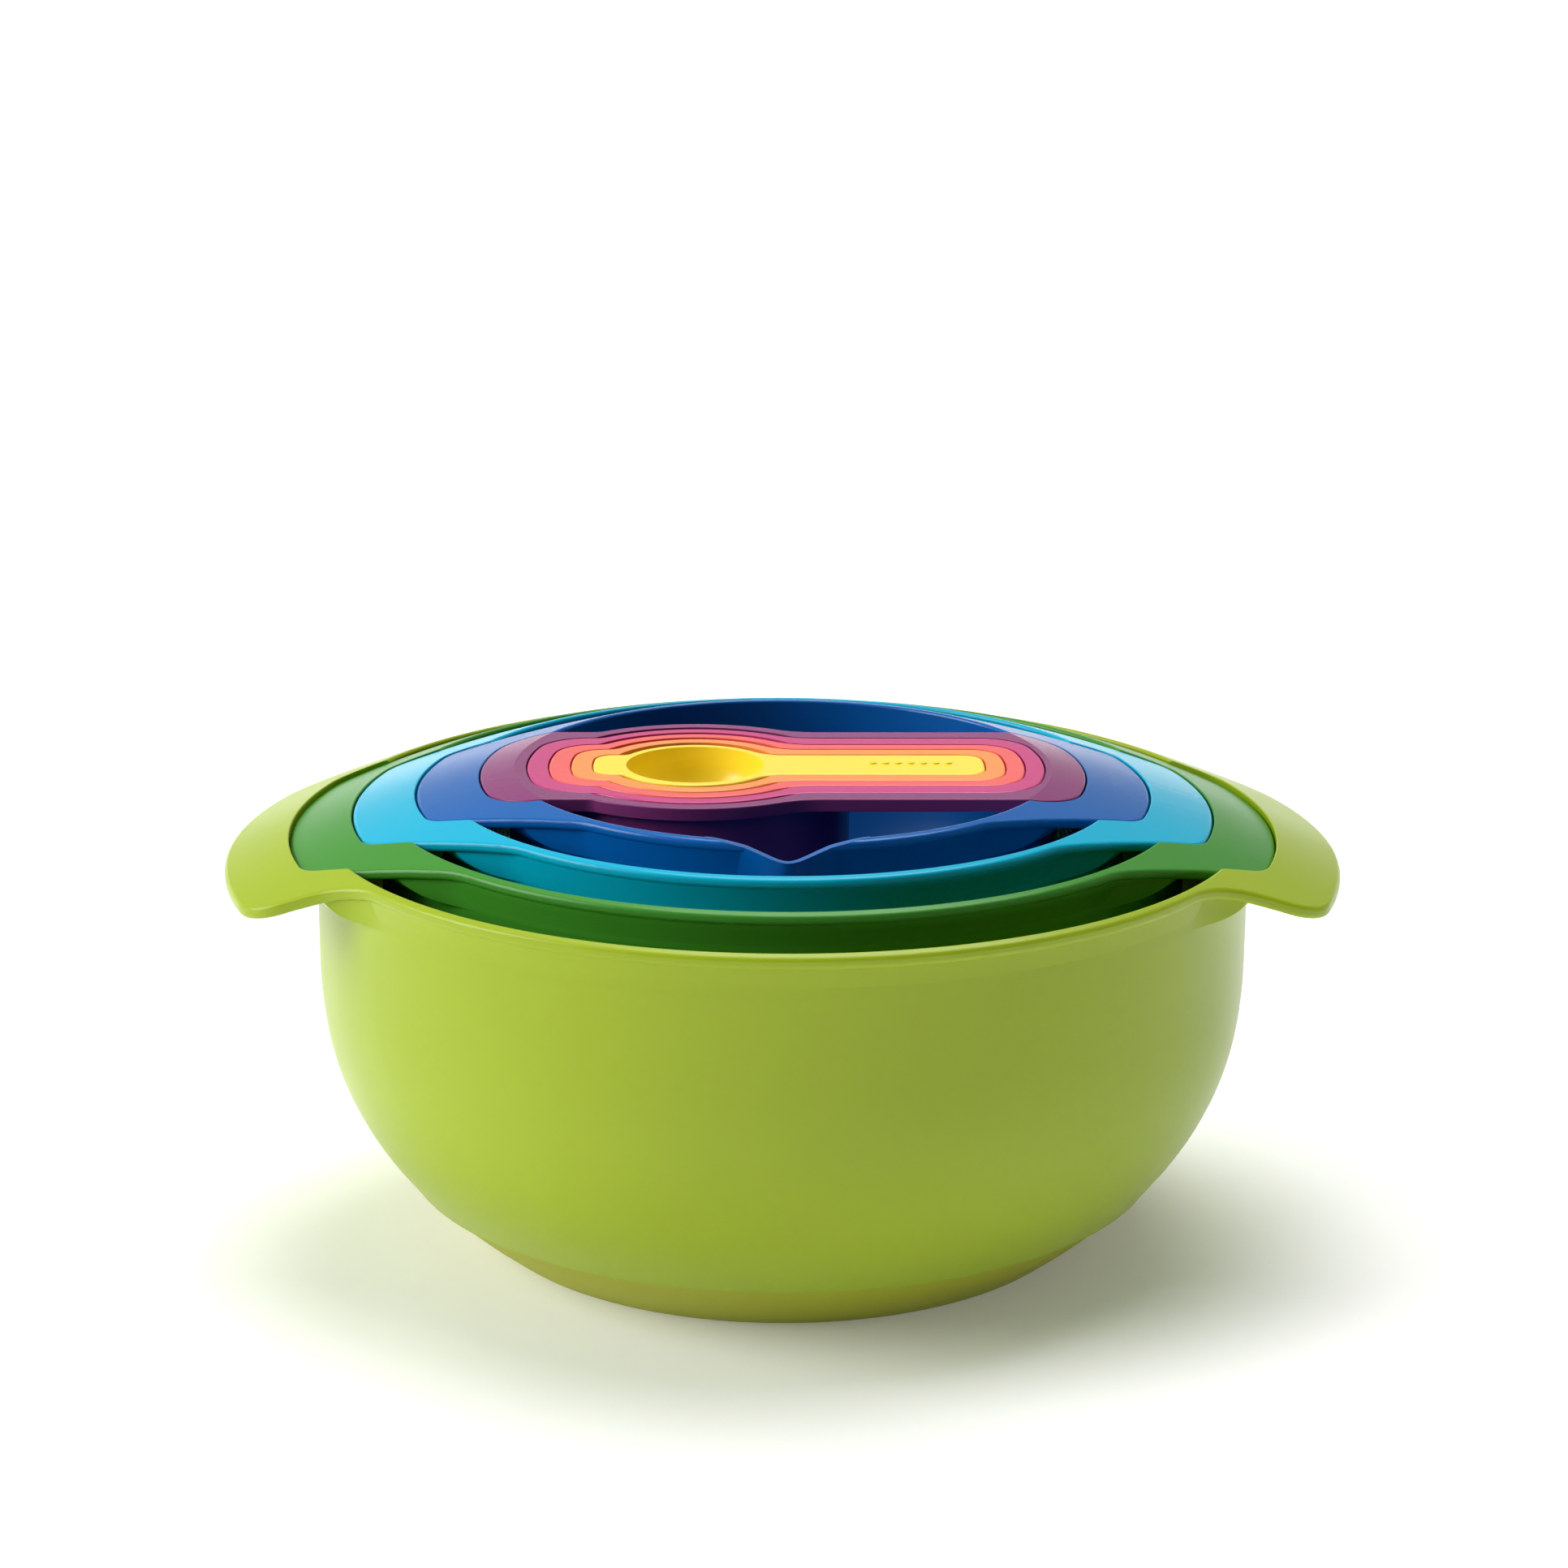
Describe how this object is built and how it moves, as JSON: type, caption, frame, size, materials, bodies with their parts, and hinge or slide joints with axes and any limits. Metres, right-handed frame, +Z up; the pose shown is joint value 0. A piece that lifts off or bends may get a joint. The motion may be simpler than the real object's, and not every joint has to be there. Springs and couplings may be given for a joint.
{
  "type": "nesting mixing and measuring bowl set",
  "caption": "Nested kitchen vessels: mixing bowl, colander, sieve, spouted measuring bowl, measuring cups and a tablespoon, with flush wing handles.",
  "frame": {"origin": "on the surface the set stands on, under the bowls' common axis", "axes": "+Z up along the bowls' axis, +X along the handles towards the cups' long handles, -Y towards the pouring spout"},
  "size_m": [0.3168, 0.2678, 0.1344],
  "materials": {
    "lime_plastic": "glossy moulded plastic, lime green",
    "lime_soft_base": "soft non-slip elastomer, olive lime",
    "green_plastic": "glossy moulded plastic, mid green",
    "cyan_plastic": "glossy moulded plastic, cyan",
    "steel_mesh": "woven stainless wire",
    "blue_plastic": "glossy moulded plastic, royal blue",
    "blue_soft_base": "soft non-slip elastomer, dark blue",
    "purple_plastic": "glossy moulded plastic, plum purple",
    "magenta_plastic": "glossy moulded plastic, magenta",
    "coral_plastic": "glossy moulded plastic, coral red",
    "orange_plastic": "glossy moulded plastic, orange",
    "yellow_plastic": "glossy moulded plastic, yellow"
  },
  "bodies": {
    "large_bowl": {"large_bowl_shell": "lime_plastic", "large_bowl_base": "lime_soft_base"},
    "colander": {"colander": "green_plastic"},
    "sieve": {"sieve_frame": "cyan_plastic", "sieve_mesh": "steel_mesh"},
    "measuring_bowl": {"measuring_bowl_shell": "blue_plastic", "measuring_bowl_base": "blue_soft_base"},
    "cup_one": {"cup_one": "purple_plastic"},
    "cup_half": {"cup_half": "magenta_plastic"},
    "cup_third": {"cup_third": "coral_plastic"},
    "cup_quarter": {"cup_quarter": "orange_plastic"},
    "tablespoon": {"tablespoon": "yellow_plastic"}
  },
  "joints": [
    {"name": "colander_lift", "type": "slide", "parent": "large_bowl", "child": "colander", "axis": [0, 0, 1], "range_m": [0, 0.125]},
    {"name": "sieve_lift", "type": "slide", "parent": "colander", "child": "sieve", "axis": [0, 0, 1], "range_m": [0, 0.105]},
    {"name": "measuring_bowl_lift", "type": "slide", "parent": "sieve", "child": "measuring_bowl", "axis": [0, 0, 1], "range_m": [0, 0.07]},
    {"name": "cup_one_lift", "type": "slide", "parent": "measuring_bowl", "child": "cup_one", "axis": [0, 0, 1], "range_m": [0, 0.056]},
    {"name": "cup_half_lift", "type": "slide", "parent": "cup_one", "child": "cup_half", "axis": [0, 0, 1], "range_m": [0, 0.04]},
    {"name": "cup_third_lift", "type": "slide", "parent": "cup_half", "child": "cup_third", "axis": [0, 0, 1], "range_m": [0, 0.038]},
    {"name": "cup_quarter_lift", "type": "slide", "parent": "cup_third", "child": "cup_quarter", "axis": [0, 0, 1], "range_m": [0, 0.036]},
    {"name": "tablespoon_lift", "type": "slide", "parent": "cup_quarter", "child": "tablespoon", "axis": [0, 0, 1], "range_m": [0, 0.022]}
  ]
}
